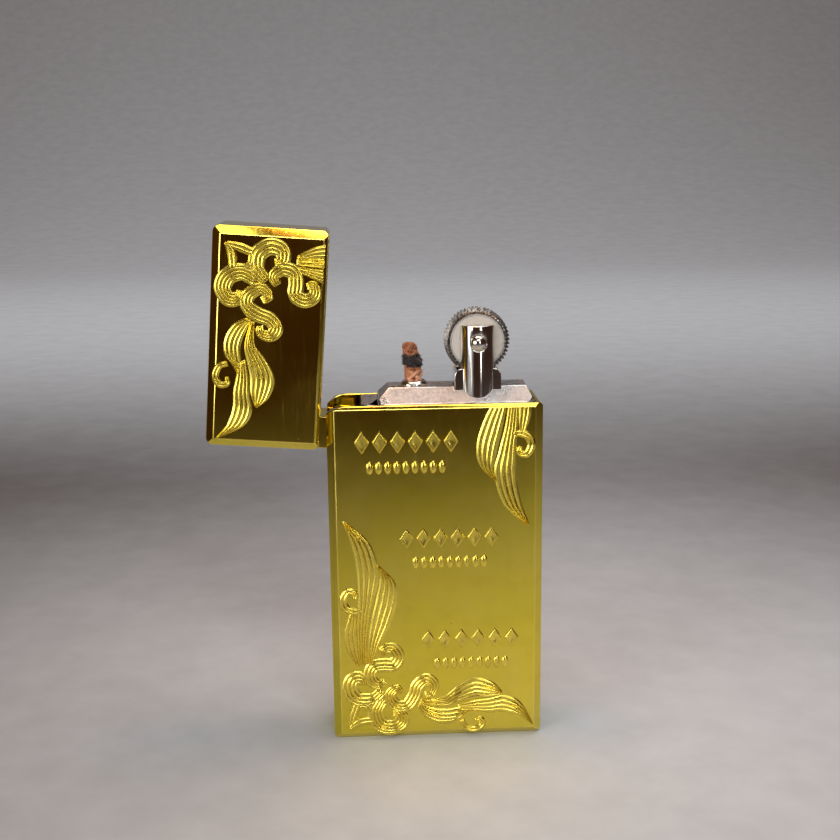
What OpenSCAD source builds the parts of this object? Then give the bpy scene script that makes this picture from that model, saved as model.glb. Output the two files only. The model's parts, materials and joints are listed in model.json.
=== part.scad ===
// Slim pocket lighter with a side-hinged lid and a pull-out wick insert.
// Millimetres. The origin is the centre of the case's underside, +Z is up, the decorated front
// faces -Y, and the lid stands open to the left of the case.

/* [Case and lid] */
// Width of the case and lid
case_w = 26; // [24:0.5:30]
// Depth from the front face to the rear face
case_d = 9; // [8.6:0.1:11]
// Height of the case up to its rim
case_h = 42.6; // [40:0.2:50]
// Height of the lid, from the rim to its top when shut
lid_h = 13.4; // [13.2:0.1:16]
// Thickness of the case and lid walls
wall = 0.8; // [0.6:0.05:1]
// Width of the bevel round the front and rear faces
bevel = 0.95; // [0.5:0.05:1.2]
// Width of the small bevel on both edges of the seam
seam_bevel = 0.4; // [0.2:0.05:0.5]
// Radius of the rounded corners seen from the front
corner_r = 0.9; // [0.4:0.1:1.5]
// Gap left between the shut lid and the rim
seam_gap = 0.1; // [0.05:0.05:0.2]

/* [Lid hinge] */
// Distance of the hinge pin from the left side
pin_inset = 2.4; // [2.2:0.1:2.8]
// Depth of the hinge pin below the rim
pin_drop = 3.2; // [3:0.1:3.6]
// Radius of the hinge pin
pin_r = 0.75; // [0.5:0.05:0.9]
// Width of the lid's hinge lug
lug_w = 5.5; // [4:0.1:5.8]
// Half thickness of the lug about the pin
lug_flat = 1.5; // [1.3:0.05:1.6]
// Angle through which the lid stands open
open_angle = 85.5; // [80:0.5:88]

/* [Insert] */
// Gap between the insert's left end and the hinge pin's centre
insert_gap = 1.8; // [1.7:0.1:2.4]
// Height of the raised deck above the rim
deck_h = 1.75; // [1:0.05:2]
// Wall of the sheet-metal tank
tank_wall = 0.4; // [0.3:0.05:0.6]
// Height that the wick stands above the deck
wick_h = 5.4; // [3:0.2:6]
// Radius of the wick
wick_r = 1.15; // [0.8:0.05:1.3]
// Distance of the wick left of the case's middle
wick_x = 2.3; // [1.5:0.1:3.5]

/* [Spark wheel] */
// Outer radius of the spark wheel
wheel_r = 3.95; // [3.5:0.05:4]
// Thickness of the spark wheel
wheel_t = 2.9; // [2.4:0.1:3]
// Number of teeth on the spark wheel
wheel_teeth = 50; // [30:2:60]
// Depth of the teeth
tooth_h = 0.22; // [0.1:0.02:0.3]
// Distance of the wheel right of the case's middle
wheel_x = 5.3; // [4.8:0.1:5.4]
// Height of the wheel's axle above the rim
axle_rise = 7.1; // [6.8:0.1:7.3]
// Radius of the wheel's axle
axle_r = 0.5; // [0.4:0.05:0.7]
// Radius of the flint
flint_r = 1.2; // [1:0.05:1.3]
// Turns of the flint spring
spring_turns = 22; // [12:1:26]

/* [Hidden] */
$fn = 96;

hair = 0.01;
slack = 0.1;                       // room round a piece that slides
pivot_x = -case_w / 2 + pin_inset;
pivot_z = case_h - pin_drop;
inner_w = case_w - 2 * wall;
inner_d = case_d - 2 * wall;
pocket_r = 1;                      // corner radius of the case's and lid's inside
flange_r = pocket_r - 0.05;
slot_w = lug_w + 0.2;
slot_drop = pin_drop + 2.3;        // foot of the slot, on which the open lug comes to rest
lug_side = pin_inset - 0.05;       // reach of the lug to the left of the pin
lug_cam_r = 1.7;                   // corner of the lug that works the cam spring

insert_l = pivot_x + insert_gap;
insert_r = case_w / 2 - wall - slack;
insert_mid = (insert_l + insert_r) / 2;
insert_w = insert_r - insert_l;
insert_d = inner_d - 2 * slack;
flange_t = 2;
deck_l = -6.7;                     // left and right foot of the raised deck
deck_r = 11.85;
deck_run_l = 1.2;                  // run of the deck's two end slopes
deck_run_r = 0.65;
plug_h = 2;                        // depth of the head's plug inside the tank
tank_l = insert_l + 0.5;
tank_w = insert_r - tank_l;
tank_mid = (insert_r + tank_l) / 2;
tank_foot = wall + 0.05;
tank_top = case_h - flange_t;
tank_inner_w = tank_w - 2 * tank_wall;
tank_inner_d = insert_d - 2 * tank_wall;

axle_z = case_h + axle_rise;
cheek = wheel_t / 2 + 0.15;        // half the gap between the bracket's posts
side_r = wheel_r - 0.55;           // radius of the wheel's flat sides
rim_slope = 0.65;                  // fall of the wheel's sides towards the tooth tips
post_r = 2.15;                     // curve of a post's outer face
post_y = 0.9;                      // centre of that curve
post_top = case_h + 9.1;
block_w = 5.6;
block_y = 2.2;                     // half depth of the bracket's block
block_top = case_h + 3.9;
bracket_foot = case_h - 1.2;
rivet_r = 0.88;
rivet_h = 0.5;
rivet_recess = 0.14;               // gap round the rivet's head in its seat
rivet_seat = 2.8;                  // flat spot-faced on each post under the rivet's head

tube_or = 1.65;
tube_ir = flint_r + 0.07;
flint_top = axle_z - wheel_r;
flint_l = 5;
flint_foot = flint_top - flint_l;
plunger_head = 1;
plunger_l = 6;
spring_r = 0.9;                    // mean radius of the flint spring's coil
wire_r = 0.14;
screw_head_r = 2.3;
screw_head_h = 1.1;
screw_foot = tank_foot + 0.3;
screw_shank = 5;
spring_foot = screw_foot + screw_head_h + screw_shank;
spring_top = flint_foot - plunger_head;
felt_foot = tank_foot + 0.1;
felt_h = 2.4;
wad_foot = felt_foot + felt_h;
wad_top = tank_top - plug_h;
wad_h = (wad_top - wad_foot) / 3;
wick_foot = wad_foot + wad_h / 2;
deck_z = case_h + deck_h;
leaf_w = 3.8;
leaf_t = 0.2;
leaf_foot = case_h - 19;

// ---- shared shapes ----

// Rectangle with rounded corners, centred on the origin.
module round_rect(w, d, r) {
    square([w, d - 2 * r], center = true);
    square([w - 2 * r, d], center = true);
    for (x = [-1, 1], y = [-1, 1])
        translate([x * (w / 2 - r), y * (d / 2 - r)])
            circle(r);
}

// Rectangle with its four corners cut at 45 degrees, centred on the origin.
module cut_rect(w, d, c) {
    polygon([[-w / 2 + c, -d / 2], [w / 2 - c, -d / 2], [w / 2, -d / 2 + c], [w / 2, d / 2 - c],
             [w / 2 - c, d / 2], [-w / 2 + c, d / 2], [-w / 2, d / 2 - c], [-w / 2, -d / 2 + c]]);
}

// Turns an outline drawn in x and z into a solid of depth d about the middle plane.
module across(d) {
    translate([0, d / 2, 0])
        rotate([90, 0, 0])
            linear_extrude(d)
                children();
}

// Turns an outline drawn in y and z into a solid of width w about the middle plane.
module along(w) {
    translate([-w / 2, 0, 0])
        rotate([90, 0, 90])
            linear_extrude(w)
                children();
}

module pin(r, from_y, to_y) {
    translate([0, to_y, 0])
        rotate([90, 0, 0])
            cylinder(r = r, h = to_y - from_y);
}

// Bevelled box whose closed end is at z = 0 and whose mouth is at z = h.
module bevelled_cup(h) {
    intersection() {
        linear_extrude(h)
            cut_rect(case_w, case_d, bevel);
        along(case_w)
            polygon([[-case_d / 2 + bevel, 0], [case_d / 2 - bevel, 0], [case_d / 2, bevel],
                     [case_d / 2, h - seam_bevel], [case_d / 2 - seam_bevel, h],
                     [-case_d / 2 + seam_bevel, h], [-case_d / 2, h - seam_bevel], [-case_d / 2, bevel]]);
        across(case_d)
            front_outline(h);
    }
}

// The same box seen from the front: two round corners at the closed end, cut corners at the mouth.
module front_outline(h) {
    translate([0, h / 2])
        square([case_w - 2 * corner_r, h], center = true);
    translate([-case_w / 2, corner_r])
        square([case_w, h - corner_r - seam_bevel]);
    for (x = [-1, 1])
        translate([x * (case_w / 2 - corner_r), corner_r])
            circle(corner_r);
    polygon([[-case_w / 2, h - seam_bevel], [case_w / 2, h - seam_bevel],
             [case_w / 2 - seam_bevel, h], [-case_w / 2 + seam_bevel, h]]);
}

// The pocket inside the box, open through the mouth.
module cup_pocket(h) {
    translate([0, 0, wall])
        linear_extrude(h)
            round_rect(inner_w, inner_d, pocket_r);
}

// ---- case ----

// What the lid sweeps over the case's upper left corner: everything above and to the left of the
// pin that lies further from it than the rim does.
module lid_sweep() {
    translate([pivot_x, 0, pivot_z])
        across(case_d + 1)
            difference() {
                translate([-pin_inset - 1, 0])
                    square([pin_inset + 1, pin_drop + 1]);
                circle(pin_drop);
            }
}

module case_shell() {
    color("gold")
        difference() {
            bevelled_cup(case_h);
            cup_pocket(case_h);
            lid_sweep();
            translate([-case_w / 2 - 1, -slot_w / 2, case_h - slot_drop])
                cube([wall + 1 + hair, slot_w, slot_drop + 1]);
            translate([pivot_x, 0, pivot_z])
                pin(pin_r, -case_d / 2 + wall / 2, case_d / 2 + 1);
        }
}

module hinge_pin() {
    color("silver")
        translate([pivot_x, 0, pivot_z])
            pin(pin_r, -case_d / 2 + wall / 2, case_d / 2);
}

// ---- lid ----

// Outline of the lug about the pin, with the lid shut: a cam with two flats and a rounded corner
// between them, and a straight outer side that lies level with the lid's.
module lug_outline() {
    top = pin_drop + seam_gap;
    intersection() {
        circle(lug_cam_r);
        translate([0, -lug_flat])
            square([lug_flat, lug_flat + 1]);
    }
    intersection() {
        circle(lug_side);
        translate([-lug_side, -lug_flat])
            square([lug_side + hair, lug_flat + hair]);
    }
    polygon([[-lug_side, 0], [lug_flat, 0], [lug_flat, top + 0.8], [-pin_inset + wall, top + 4],
             [-pin_inset + wall / 2, top + 4], [-pin_inset + wall / 2, top], [-lug_side, top]]);
}

// The lid as it sits when shut.
module lid_shut() {
    difference() {
        union() {
            difference() {
                translate([0, 0, case_h + lid_h])
                    mirror([0, 0, 1])
                        bevelled_cup(lid_h - seam_gap);
                translate([0, 0, case_h + lid_h])
                    mirror([0, 0, 1])
                        cup_pocket(lid_h);
            }
            translate([pivot_x, 0, pivot_z])
                across(lug_w)
                    lug_outline();
        }
        translate([pivot_x, 0, pivot_z])
            pin(pin_r + 0.04, -case_d, case_d);
    }
}

module lid() {
    color("gold")
        translate([pivot_x, 0, pivot_z])
            rotate([0, -open_angle, 0])
                translate([-pivot_x, 0, -pivot_z])
                    lid_shut();
}

// ---- insert body ----

module insert_tank() {
    color("silver")
        translate([tank_mid, 0, tank_foot])
            linear_extrude(tank_top - tank_foot)
                difference() {
                    round_rect(tank_w, insert_d, 1);
                    round_rect(tank_inner_w, tank_inner_d, 1 - tank_wall);
                }
}

// The raised deck: long slopes at 45 degrees to the front and rear, short steep ones at the ends.
module deck() {
    intersection() {
        translate([(deck_l + deck_r) / 2, 0, case_h - 1])
            linear_extrude(deck_h + 2)
                round_rect(deck_r - deck_l, insert_d, flange_r);
        across(insert_d)
            polygon([[deck_l, case_h - hair], [deck_r, case_h - hair], [deck_r, case_h + 0.3],
                     [deck_r - deck_run_r, deck_z], [deck_l + deck_run_l, deck_z],
                     [deck_l, case_h + 0.5]]);
        translate([insert_mid, 0, 0])
            along(insert_w)
                polygon([[-insert_d / 2, case_h - hair], [insert_d / 2, case_h - hair],
                         [insert_d / 2 - deck_h, deck_z], [-insert_d / 2 + deck_h, deck_z]]);
    }
}

module insert_head() {
    color("lightgray")
        difference() {
            union() {
                translate([insert_mid, 0, tank_top])
                    linear_extrude(flange_t)
                        round_rect(insert_w, insert_d, flange_r);
                translate([tank_mid, 0, tank_top - plug_h])
                    linear_extrude(plug_h + hair)
                        round_rect(tank_inner_w - slack, tank_inner_d - slack, 0.5);
                deck();
            }
            translate([-wick_x, 0, 0])
                cylinder(r = wick_r + 0.25, h = case_h * 2);
            translate([wheel_x, 0, 0])
                cylinder(r = tube_or, h = case_h * 2);
            translate([wheel_x, 0, bracket_foot])
                linear_extrude(case_h)
                    bracket_plan(0.02);
        }
}

// Plan of the bracket: a block with a half-round post before and behind.
module bracket_plan(gap) {
    square([block_w + 2 * gap, 2 * block_y + 2 * gap], center = true);
    for (s = [-1, 1])
        translate([0, s * post_y])
            circle(post_r + gap);
}

module wheel_bracket() {
    color("silver")
        difference() {
            union() {
                intersection() {
                    translate([wheel_x, 0, bracket_foot])
                        linear_extrude(post_top - bracket_foot)
                            bracket_plan(0);
                    translate([wheel_x, 0, 0])
                        across(case_d)
                            block_outline();
                }
                translate([wheel_x, 0, bracket_foot])
                    linear_extrude(post_top - bracket_foot)
                        posts_plan();
            }
            translate([wheel_x, 0, axle_z]) {
                pin(wheel_r + 0.3, -cheek, cheek);
                pin(axle_r, -case_d, case_d);
                for (side = [0, 1])
                    mirror([0, side, 0])
                        pin(rivet_r + rivet_recess, -case_d, -rivet_seat);
            }
            translate([wheel_x, 0, 0]) {
                cylinder(r = tube_ir, h = case_h * 2);
                cylinder(r = tube_or, h = case_h + 1);
            }
        }
}

// Front outline of the block, with its two top corners rounded.
module block_outline() {
    r = 0.9;
    translate([-block_w / 2, 0])
        square([block_w, block_top - r]);
    translate([-block_w / 2 + r, 0])
        square([block_w - 2 * r, block_top]);
    for (x = [-1, 1])
        translate([x * (block_w / 2 - r), block_top - r])
            circle(r);
}

module posts_plan() {
    difference() {
        for (s = [-1, 1])
            translate([0, s * post_y])
                circle(post_r);
        square([block_w, 2 * cheek], center = true);
    }
}

// ---- spark wheel ----

// A toothed outline: one point at each tip and one at each root.
module toothed_disc() {
    step = 360 / wheel_teeth;
    polygon([for (i = [0 : wheel_teeth - 1], k = [0, 1])
        let (a = (i + k / 2) * step, r = wheel_r - k * tooth_h)
            [r * cos(a), r * sin(a)]]);
}

module spark_wheel() {
    half = wheel_t / 2;
    past = wheel_r + 0.2;
    cut_z = half - rim_slope * (past - side_r);
    color("dimgray")
        translate([wheel_x, 0, axle_z])
            rotate([90, 0, 0])
                difference() {
                    intersection() {
                        translate([0, 0, -half])
                            linear_extrude(wheel_t)
                                toothed_disc();
                        rotate_extrude()
                            polygon([[0, -half], [side_r, -half], [past, -cut_z],
                                     [past, cut_z], [side_r, half], [0, half]]);
                    }
                    cylinder(r = axle_r + 0.05, h = wheel_t + 1, center = true);
                }
}

// The axle is a rivet: a domed head in front and a flatter one closed over behind.
module wheel_axle() {
    color("silver")
        translate([wheel_x, 0, axle_z]) {
            pin(axle_r, -rivet_seat, rivet_seat);
            rivet_head(rivet_r, rivet_h);
            mirror([0, 1, 0])
                rivet_head(rivet_r, rivet_h * 0.7);
        }
}

// Domed head on a short drum, seated on the front post and facing -Y.
module rivet_head(r, dome_h) {
    ball = (r * r + dome_h * dome_h) / (2 * dome_h);
    drum = post_y + post_r - rivet_seat;
    translate([0, -rivet_seat, 0])
        rotate([90, 0, 0]) {
            cylinder(r = r, h = drum);
            intersection() {
                translate([0, 0, drum + dome_h - ball])
                    sphere(ball);
                cylinder(r = r, h = drum + dome_h);
            }
        }
}

// ---- flint works ----

module flint_tube() {
    color("goldenrod")
        translate([wheel_x, 0, screw_foot + screw_head_h + 0.1])
            difference() {
                cylinder(r = tube_or, h = case_h + 1 - screw_foot - screw_head_h - 0.1);
                translate([0, 0, -1])
                    cylinder(r = tube_ir, h = case_h + 2);
            }
}

// The flint's upper end is worn to the curve of the wheel.
module flint() {
    color("gray")
        difference() {
            translate([wheel_x, 0, flint_foot])
                cylinder(r = flint_r, h = flint_l + 0.3);
            translate([wheel_x, 0, axle_z])
                pin(wheel_r + 0.04, -case_d, case_d);
        }
}

module flint_plunger() {
    color("goldenrod")
        translate([wheel_x, 0, flint_foot - plunger_head]) {
            cylinder(r = flint_r - 0.02, h = plunger_head - 0.02);
            translate([0, 0, -plunger_l])
                cylinder(r = spring_r - wire_r - 0.12, h = plunger_l + hair);
        }
}

// Points of a ring of the spring's wire, at turn t of the coil.
function coil_ring(t, pitch, sides) =
    [for (k = [0 : sides - 1])
        let (a = 360 * t, b = 360 * k / sides, r = spring_r + wire_r * cos(b))
            [r * cos(a), r * sin(a), pitch * t + wire_r * sin(b)]];

// Open coil of round wire, swept ring by ring.
module coil(turns, height) {
    sides = 6;
    steps = 14;
    pitch = (height - 2 * wire_r) / turns;
    rings = turns * steps;
    points = [for (i = [0 : rings]) each coil_ring(i / steps, pitch, sides)];
    lower = [for (i = [0 : rings - 1], k = [0 : sides - 1])
        [i * sides + k, i * sides + (k + 1) % sides, (i + 1) * sides + k]];
    upper = [for (i = [0 : rings - 1], k = [0 : sides - 1])
        [i * sides + (k + 1) % sides, (i + 1) * sides + (k + 1) % sides, (i + 1) * sides + k]];
    start = [for (k = [1 : sides - 2]) [0, k + 1, k]];
    finish = [for (k = [1 : sides - 2]) [rings * sides, rings * sides + k, rings * sides + k + 1]];
    translate([0, 0, wire_r])
        polyhedron(points, concat(lower, upper, start, finish));
}

module flint_spring() {
    color("silver")
        translate([wheel_x, 0, spring_foot + 0.02])
            coil(spring_turns, spring_top - spring_foot - 0.04);
}

// Slotted screw with a spigot that centres the spring.
module flint_screw() {
    color("silver")
        translate([wheel_x, 0, screw_foot])
            difference() {
                union() {
                    cylinder(r = screw_head_r, h = screw_head_h);
                    cylinder(r = tube_ir - 0.05, h = screw_head_h + screw_shank);
                    cylinder(r = spring_r - wire_r - 0.12, h = screw_head_h + screw_shank + 2);
                }
                translate([-screw_head_r - 1, -0.35, -hair])
                    cube([2 * screw_head_r + 2, 0.7, 0.6]);
            }
}

// ---- wick and packing ----

module wick() {
    lean = 9;
    bend = deck_z + wick_h * 0.25;
    color("saddlebrown")
        translate([-wick_x, 0, 0]) {
            translate([0, 0, wick_foot])
                cylinder(r = wick_r, h = bend - wick_foot);
            translate([0, 0, bend])
                sphere(wick_r + 0.06);
            translate([0, 0, bend])
                rotate([0, -lean, 0])
                    cylinder(r = wick_r, h = wick_h * 0.75);
        }
}

// Eyelet that grips the wick: a thin sleeve with a lip rolled out over the deck.
module wick_ferrule() {
    sleeve_r = wick_r + 0.25;
    lip_r = 1.65;
    color("silver")
        translate([-wick_x, 0, 0])
            rotate_extrude()
                polygon([[wick_r + 0.02, case_h - flange_t], [sleeve_r - 0.01, case_h - flange_t],
                         [sleeve_r - 0.01, deck_z], [lip_r, deck_z], [lip_r, deck_z + 0.22],
                         [sleeve_r, deck_z + 0.5], [wick_r + 0.02, deck_z + 0.6]]);
}

// One wad of packing, numbered from the bottom, pierced for the flint tube and the wick.
module wad(level) {
    color("white")
        difference() {
            translate([tank_mid, 0, wad_foot + level * wad_h])
                linear_extrude(wad_h)
                    round_rect(tank_inner_w - slack, tank_inner_d - slack, 0.6);
            translate([wheel_x, 0, 0])
                cylinder(r = tube_or + slack, h = case_h * 2);
            translate([-wick_x, 0, wick_foot - hair])
                cylinder(r = wick_r + 0.02, h = case_h);
        }
}

module wadding_upper() {
    wad(2);
}

module wadding_middle() {
    wad(1);
}

module wadding_lower() {
    wad(0);
}

// Felt that closes the foot of the tank, with a hole for the flint screw.
module felt_pad() {
    color("whitesmoke")
        translate([tank_mid, 0, felt_foot])
            linear_extrude(felt_h)
                difference() {
                    round_rect(tank_inner_w - slack, tank_inner_d - slack, 0.6);
                    translate([wheel_x - tank_mid, 0])
                        circle(screw_head_r + 0.2);
                }
}

// ---- cam spring ----

// Outline of the leaf, drawn up its outer side and back down its inner side.
module leaf_outline() {
    side = [[tank_l, leaf_foot], [tank_l, case_h - 9], [pivot_x + 1.88, case_h - 4.6],
            [pivot_x + 1.83, case_h - 3.4], [tank_l - 0.32, case_h - flange_t - 0.15]];
    polygon([for (p = side) p - [leaf_t, 0], for (i = [len(side) - 1 : -1 : 0]) side[i]]);
}

module cam_spring() {
    color("lightsteelblue")
        difference() {
            across(leaf_w)
                leaf_outline();
            cam_rivet_places()
                cylinder(r = 0.4, h = 3, center = true);
        }
}

module cam_rivet_places() {
    for (z = [leaf_foot + 1.5, leaf_foot + 5])
        translate([tank_l, 0, z])
            rotate([0, 90, 0])
                children();
}

module cam_spring_rivets() {
    color("silver")
        cam_rivet_places() {
            translate([0, 0, -leaf_t])
                cylinder(r = 0.4, h = leaf_t);
            translate([0, 0, -leaf_t - 0.25])
                cylinder(r = 0.75, h = 0.25);
        }
}

case_shell();
hinge_pin();
lid();
insert_tank();
insert_head();
wheel_bracket();
spark_wheel();
wheel_axle();
flint_tube();
flint();
flint_plunger();
flint_spring();
flint_screw();
wick();
wick_ferrule();
wadding_upper();
wadding_middle();
wadding_lower();
felt_pad();
cam_spring();
cam_spring_rivets();
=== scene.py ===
"""Slim flip-top pocket lighter: the visible pieces, their finishes and the stage.

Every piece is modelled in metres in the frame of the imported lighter, and rides on the body that
carries it there. Run it as a script, or read it as the add-on that it is laid out as.
"""

import json
import math
import random

import bmesh
import bpy
from mathutils import Matrix, Quaternion, Vector


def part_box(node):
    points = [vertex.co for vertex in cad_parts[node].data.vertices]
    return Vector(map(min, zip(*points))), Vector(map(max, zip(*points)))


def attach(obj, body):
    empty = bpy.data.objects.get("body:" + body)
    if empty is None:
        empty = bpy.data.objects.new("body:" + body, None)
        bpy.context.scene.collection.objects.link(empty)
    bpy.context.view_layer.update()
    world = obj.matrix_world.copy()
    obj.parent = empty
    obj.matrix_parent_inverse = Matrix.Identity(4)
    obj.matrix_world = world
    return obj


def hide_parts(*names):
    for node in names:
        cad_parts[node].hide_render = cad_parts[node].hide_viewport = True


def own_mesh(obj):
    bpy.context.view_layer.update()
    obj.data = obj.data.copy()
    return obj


bl_info = {
    "name": "Slim Flip-Top Lighter",
    "version": (1, 0, 0),
    "blender": (4, 5, 0),
    "location": "View3D > Sidebar > Lighter",
    "description": "Builds a slim flip-top pocket lighter with scroll relief",
    "category": "Object",
}

MM = 0.001
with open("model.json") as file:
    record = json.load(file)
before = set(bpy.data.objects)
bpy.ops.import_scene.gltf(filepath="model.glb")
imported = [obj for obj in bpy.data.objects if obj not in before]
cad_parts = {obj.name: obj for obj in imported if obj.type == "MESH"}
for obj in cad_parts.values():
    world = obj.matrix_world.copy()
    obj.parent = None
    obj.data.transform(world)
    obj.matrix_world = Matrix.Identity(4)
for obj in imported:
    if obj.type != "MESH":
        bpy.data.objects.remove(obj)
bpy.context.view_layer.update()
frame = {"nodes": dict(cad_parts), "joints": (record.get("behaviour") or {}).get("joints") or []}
JOINTS = {joint["name"]: joint for joint in frame["joints"]}
PIVOT = Vector(JOINTS["lid_hinge"]["pos_m"])
OPEN_ANGLE = math.radians(max(abs(limit) for limit in JOINTS["lid_hinge"]["range_deg"]))
CASE_LOW, CASE_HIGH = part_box("case_shell")
WHEEL_LOW, WHEEL_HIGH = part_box("spark_wheel")
WHEEL_CENTRE = (WHEEL_LOW + WHEEL_HIGH) / 2
WHEEL_RADIUS = (WHEEL_HIGH.z - WHEEL_LOW.z) / 2
WHEEL_WIDTH = WHEEL_HIGH.y - WHEEL_LOW.y
FERRULE_LOW, FERRULE_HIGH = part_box("wick_ferrule")
WICK_LOW, WICK_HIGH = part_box("wick")
RIM = CASE_HIGH.z
SEAM_MARGIN = 0.45 * MM
SHUT_HEIGHT = 56 * MM


# ---- settings ----


def colour_setting(name, description, default):
    """A colour that the panel shows."""
    return bpy.props.FloatVectorProperty(
        name=name,
        description=description,
        subtype="COLOR",
        size=3,
        min=0,
        max=1,
        default=default,
    )


def length_setting(name, description, low, high, default):
    """A length in metres that the panel shows."""
    return bpy.props.FloatProperty(
        name=name,
        description=description,
        unit="LENGTH",
        min=low,
        max=high,
        default=default,
    )


class LighterMetals(bpy.types.PropertyGroup):
    """Colours and edges of the metal pieces."""

    gold: colour_setting("Gold plate", "Colour of the polished plating", (0.80, 0.655, 0.065))
    relief_gold: colour_setting("Relief gold", "Colour of the raised work", (0.90, 0.72, 0.11))
    nickel: colour_setting("Nickel", "Colour of the polished nickel", (0.74, 0.71, 0.66))
    cast: colour_setting("Cast head", "Colour of the grainy cast head", (0.52, 0.51, 0.50))
    edge_round: length_setting(
        "Edge rounding", "Width of the rounding on the plated edges", 0.00002, 0.0003, 0.00011
    )
    relief_height: length_setting(
        "Relief height", "Height of the raised scrolls above the face", 0.0001, 0.00025, 0.00024
    )


class LighterWheel(bpy.types.PropertyGroup):
    """Sizes and colours of the spark wheel."""

    teeth: bpy.props.IntProperty(
        name="Teeth",
        description="Teeth in one row round the wheel",
        min=30,
        max=70,
        default=50,
    )
    rows: bpy.props.IntProperty(
        name="Rows",
        description="Rows of teeth across the wheel",
        min=3,
        max=7,
        default=5,
    )
    tooth_height: length_setting(
        "Tooth height", "Height of a tooth above the wheel's body", 0.0001, 0.0004, 0.00034
    )
    steel: colour_setting("Hardened steel", "Colour of the toothed rim", (0.16, 0.145, 0.13))
    side: colour_setting("Wheel side", "Colour of the turned side", (0.60, 0.55, 0.48))


class LighterWick(bpy.types.PropertyGroup):
    """Sizes and colours of the wick and the packing."""

    strand: length_setting(
        "Strand radius", "Radius of one strand of the braid", 0.0001, 0.0004, 0.00023
    )
    lean: bpy.props.FloatProperty(
        name="Lean",
        description="Lean of the wick's upper part",
        subtype="ANGLE",
        unit="ROTATION",
        min=0,
        max=0.35,
        default=math.radians(9),
    )
    braid: colour_setting("Braid", "Colour of the scorched cotton braid", (0.40, 0.135, 0.045))
    cotton: colour_setting("Cotton", "Colour of the cotton packing", (0.86, 0.83, 0.76))
    felt: colour_setting("Felt", "Colour of the felt pad", (0.55, 0.50, 0.42))


class LighterStage(bpy.types.PropertyGroup):
    """Floor and lamps."""

    floor: colour_setting("Floor", "Colour of the floor", (0.575, 0.595, 0.62))
    power: bpy.props.FloatProperty(
        name="Lamp power",
        description="Power that every lamp takes its share of",
        unit="POWER",
        min=0,
        default=0.07,
    )


SETTINGS = {
    "lighter_metals": LighterMetals,
    "lighter_wheel": LighterWheel,
    "lighter_wick": LighterWick,
    "lighter_stage": LighterStage,
}


# ---- selecting and placing ----


def clear_selection():
    """Leaves edit mode and deselects every object."""
    if bpy.context.object is not None and bpy.context.object.mode != "OBJECT":
        bpy.ops.object.mode_set(mode="OBJECT")
    bpy.ops.object.select_all(action="DESELECT")


def pick(piece):
    """Makes piece the one selected and active object."""
    clear_selection()
    piece.select_set(True)
    bpy.context.view_layer.objects.active = piece


def named(name):
    """Names the active object and its data, and puts its place into its mesh."""
    piece = bpy.context.object
    pick(piece)
    bpy.ops.object.transform_apply(location=True, rotation=True, scale=True)
    piece.name = name
    piece.data.name = name
    return piece


def joined(pieces, name):
    """Joins pieces into one object of that name."""
    clear_selection()
    for piece in pieces:
        piece.select_set(True)
    bpy.context.view_layer.objects.active = pieces[0]
    if len(pieces) > 1:
        bpy.ops.object.join()
    pieces[0].name = name
    pieces[0].data.name = name
    return pieces[0]


def copied(piece, name):
    """A copy of piece with its own mesh."""
    pick(piece)
    bpy.ops.object.duplicate(linked=False)
    twin = bpy.context.object
    twin.name = name
    twin.data.name = name
    return twin


def choose_faces(piece, wanted):
    """In edit mode, selects the faces that wanted accepts."""
    bpy.ops.mesh.select_all(action="DESELECT")
    bpy.ops.mesh.select_mode(type="FACE")
    mesh = bmesh.from_edit_mesh(piece.data)
    for face in mesh.faces:
        face.select_set(wanted(face))
    bmesh.update_edit_mesh(piece.data)


def choose_points(piece, wanted):
    """In edit mode, selects the vertices that wanted accepts."""
    bpy.ops.mesh.select_mode(type="VERT")
    bpy.ops.mesh.select_all(action="DESELECT")
    mesh = bmesh.from_edit_mesh(piece.data)
    for point in mesh.verts:
        point.select_set(wanted(point.co))
    mesh.select_flush(True)
    bmesh.update_edit_mesh(piece.data)


def face_outwards(piece):
    """Merges the doubles of a closed piece and turns its faces outwards."""
    pick(piece)
    bpy.ops.object.mode_set(mode="EDIT")
    bpy.ops.mesh.select_all(action="SELECT")
    bpy.ops.mesh.remove_doubles(threshold=1e-7)
    bpy.ops.mesh.normals_make_consistent(inside=False)
    bpy.ops.object.mode_set(mode="OBJECT")


def apply_modifiers(piece):
    """Applies all of the piece's modifiers in order."""
    pick(piece)
    for modifier in list(piece.modifiers):
        bpy.ops.object.modifier_apply(modifier=modifier.name)


def smooth(piece, degrees=35):
    """Shades smooth, except over edges sharper than degrees."""
    pick(piece)
    bpy.ops.object.shade_smooth_by_angle(angle=math.radians(degrees))


def node_copy(node, name):
    """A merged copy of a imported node, free of the frame, with its flat faces whole again."""
    piece = copied(frame["nodes"][node], name)
    for key in [key for key in piece.keys() if key.startswith("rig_")]:
        del piece[key]
    piece.parent = None
    piece.matrix_world = Matrix.Identity(4)
    piece.data.materials.clear()
    bpy.ops.object.mode_set(mode="EDIT")
    bpy.ops.mesh.select_all(action="SELECT")
    bpy.ops.mesh.remove_doubles(threshold=2e-6)
    bpy.ops.mesh.customdata_custom_splitnormals_clear()
    bpy.ops.mesh.dissolve_limited(angle_limit=math.radians(1))
    bpy.ops.object.mode_set(mode="OBJECT")
    return piece


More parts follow.
